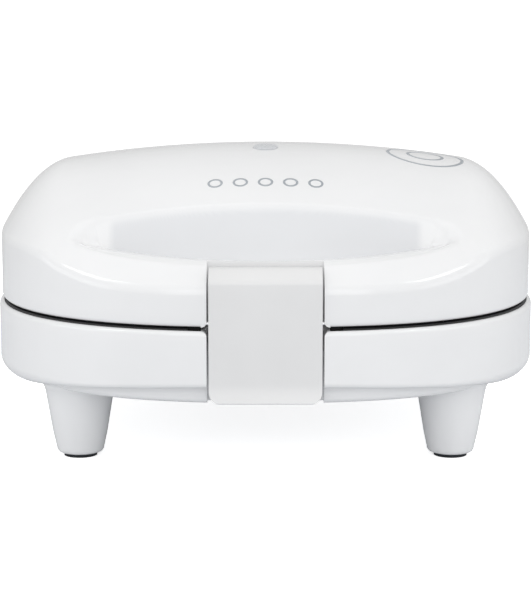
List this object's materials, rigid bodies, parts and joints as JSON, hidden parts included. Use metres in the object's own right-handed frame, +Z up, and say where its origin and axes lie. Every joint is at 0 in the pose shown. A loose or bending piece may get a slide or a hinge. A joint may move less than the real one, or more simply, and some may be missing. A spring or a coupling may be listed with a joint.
{
  "type": "donut maker",
  "caption": "Countertop donut maker: hinged crowned lid with grip recess and rocker latch, ring-cavity baking plates, base on tapered legs.",
  "frame": {"origin": "middle of the footprint at table level (centre of the bounding box underside)", "axes": "+X to the right seen from the front, +Y towards the hinge at the rear, +Z up"},
  "size_m": [0.2282, 0.2244, 0.1235],
  "materials": {
    "white_shell": "gloss white moulded housing",
    "latch_white": "satin off-white moulding",
    "foot_rubber": "matt black rubber",
    "black_frame": "black heat-resistant moulding",
    "nonstick_coating": "dark non-stick coating on die-cast aluminium",
    "heater_sheath": "heat-tinted tubular sheath",
    "white_ceramic": "unglazed steatite",
    "terminal_brass": "bright brass",
    "shield_steel": "aluminised sheet",
    "screw_steel": "zinc plated",
    "black_bakelite": "black bakelite",
    "fuse_sleeve": "glass-fibre sleeve",
    "wire_red": "silicone insulated lead",
    "wire_grey": "thin grey lead",
    "gland_grey": "pale grey bushing",
    "pin_steel": "bright drawn steel",
    "sleeve_black": "woven black sleeving",
    "lens_grey": "frosted grey light guide",
    "lamp_glass": "clear lamp envelope"
  },
  "bodies": {
    "base": {"base_housing": "white_shell", "legs": "white_shell", "leg_screws": "screw_steel", "rubber_feet": "foot_rubber", "base_frame": "black_frame", "base_frame_screws": "screw_steel", "lower_plate": "nonstick_coating", "lower_heater": "heater_sheath", "lower_heater_bushes": "white_ceramic", "lower_heater_terminals": "terminal_brass", "lower_heat_shield": "shield_steel", "lower_plate_screws": "screw_steel", "thermostat": "black_bakelite", "thermostat_screws": "screw_steel", "thermal_fuse": "fuse_sleeve", "terminal_block": "white_ceramic", "terminal_screws": "terminal_brass", "earth_tag": "terminal_brass", "base_wires": "wire_red", "cord_gland": "gland_grey", "hinge_pins": "pin_steel", "hinge_cable": "sleeve_black"},
    "lid": {"lid_housing": "white_shell", "lid_frame": "black_frame", "lid_frame_screws": "screw_steel", "upper_plate": "nonstick_coating", "upper_heater": "heater_sheath", "upper_heater_bushes": "white_ceramic", "upper_heater_terminals": "terminal_brass", "upper_heat_shield": "shield_steel", "upper_plate_screws": "screw_steel", "indicator_lens": "lens_grey", "indicator_lamp": "lamp_glass", "lamp_holder": "black_bakelite", "lamp_holder_screws": "screw_steel", "lid_wires": "wire_red", "lamp_wires": "wire_grey", "latch_pin": "pin_steel", "latch_spring": "pin_steel"},
    "latch": {"latch_clip": "latch_white"}
  },
  "joints": [
    {"name": "lid_hinge", "type": "hinge", "parent": "base", "child": "lid", "pos_m": [0, 0.1062, 0.0595], "axis": [-1, 0, 0], "range_deg": [0, 95], "deforming": ["hinge_cable"]},
    {"name": "latch_pivot", "type": "hinge", "parent": "lid", "child": "latch", "pos_m": [0, -0.1062, 0.0614], "axis": [-1, 0, 0], "range_deg": [0, 12], "stiffness_Nm_per_rad": 0.1, "springref_deg": -20.05, "deforming": ["latch_spring"]}
  ]
}
